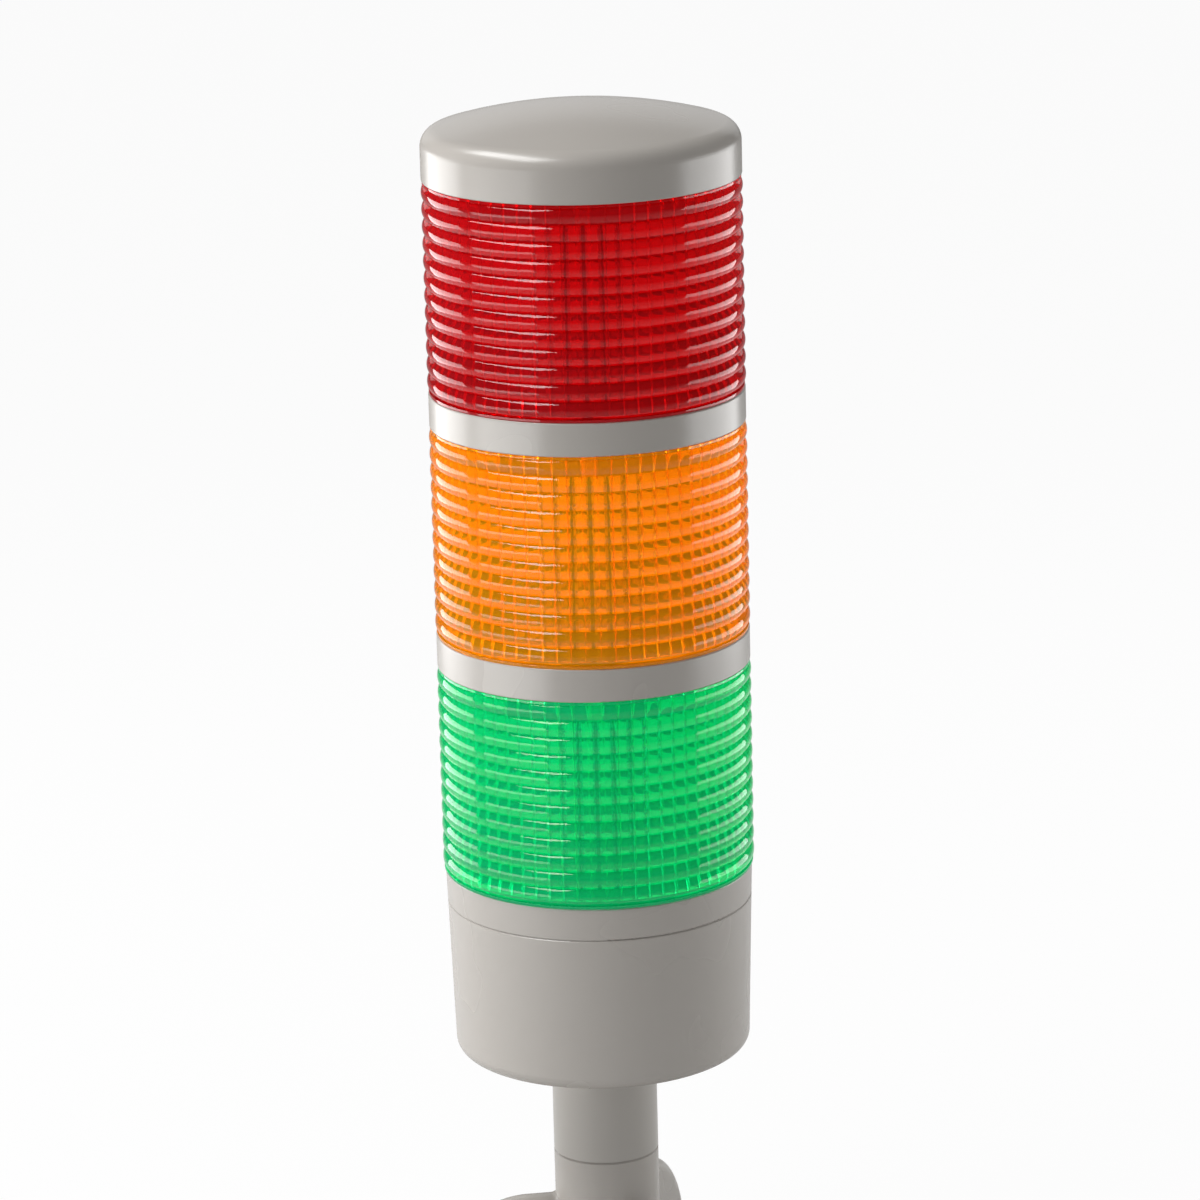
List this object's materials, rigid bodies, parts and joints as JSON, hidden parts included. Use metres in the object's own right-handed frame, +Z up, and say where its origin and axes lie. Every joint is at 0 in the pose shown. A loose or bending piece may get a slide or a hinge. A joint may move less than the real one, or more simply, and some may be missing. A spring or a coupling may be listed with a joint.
{
  "type": "stack light",
  "caption": "Signal tower with stacked coloured light tiers that twist off each other, on a stand pipe and a gusseted screw-down foot.",
  "frame": {"origin": "centre of the foot's flat underside", "axes": "+Z up the common axis, -Y towards the front"},
  "size_m": [0.068, 0.068, 0.2017],
  "materials": {
    "grey_housing": "warm light grey moulded plastic, semi-gloss",
    "red_lens": "translucent red moulded plastic, glossy",
    "amber_lens": "translucent amber moulded plastic, glossy",
    "green_lens": "translucent green moulded plastic, glossy",
    "seal_rubber": "black moulded rubber",
    "circuit_board": "green solder mask",
    "led_body": "pale resin in a white frame",
    "contact_brass": "bent strip, satin",
    "zinc_steel": "zinc plated",
    "terminal_plastic": "dark moulded plastic",
    "painted_pipe": "warm light grey paint, semi-gloss"
  },
  "bodies": {
    "base": {"base_housing": "grey_housing", "wiring_board": "circuit_board", "wiring_board_screws": "zinc_steel", "contact_pillar": "terminal_plastic", "base_contact_disc": "circuit_board", "terminal_block": "terminal_plastic", "terminal_screws": "zinc_steel", "clamp_washer": "zinc_steel", "hollow_bolt": "zinc_steel", "stand_pipe": "painted_pipe", "foot": "grey_housing"},
    "green_tier": {"green_lens": "green_lens", "green_ring": "grey_housing", "green_seal": "seal_rubber", "green_base_board": "circuit_board", "green_board_screws": "zinc_steel", "green_led_board": "circuit_board", "green_leds": "led_body", "green_contact_disc": "circuit_board", "green_contact_strips": "contact_brass"},
    "amber_tier": {"amber_lens": "amber_lens", "amber_ring": "grey_housing", "amber_seal": "seal_rubber", "amber_base_board": "circuit_board", "amber_board_screws": "zinc_steel", "amber_led_board": "circuit_board", "amber_leds": "led_body", "amber_contact_disc": "circuit_board", "amber_contact_strips": "contact_brass"},
    "red_tier": {"red_lens": "red_lens", "red_ring": "grey_housing", "red_seal": "seal_rubber", "red_base_board": "circuit_board", "red_board_screws": "zinc_steel", "red_led_board": "circuit_board", "red_leds": "led_body", "red_contact_disc": "circuit_board", "red_contact_strips": "contact_brass"},
    "cap": {"top_cap": "grey_housing", "cap_seal": "seal_rubber"}
  },
  "joints": [
    {"name": "green_twist", "type": "hinge", "parent": "base", "child": "green_tier", "pos_m": [0, 0, 0.0734], "axis": [0, 0, 1], "range_deg": [0, 20]},
    {"name": "amber_twist", "type": "hinge", "parent": "green_tier", "child": "amber_tier", "pos_m": [0, 0, 0.1124], "axis": [0, 0, 1], "range_deg": [0, 20]},
    {"name": "red_twist", "type": "hinge", "parent": "amber_tier", "child": "red_tier", "pos_m": [0, 0, 0.1514], "axis": [0, 0, 1], "range_deg": [0, 20]},
    {"name": "cap_twist", "type": "hinge", "parent": "red_tier", "child": "cap", "pos_m": [0, 0, 0.1904], "axis": [0, 0, 1], "range_deg": [0, 20]}
  ]
}
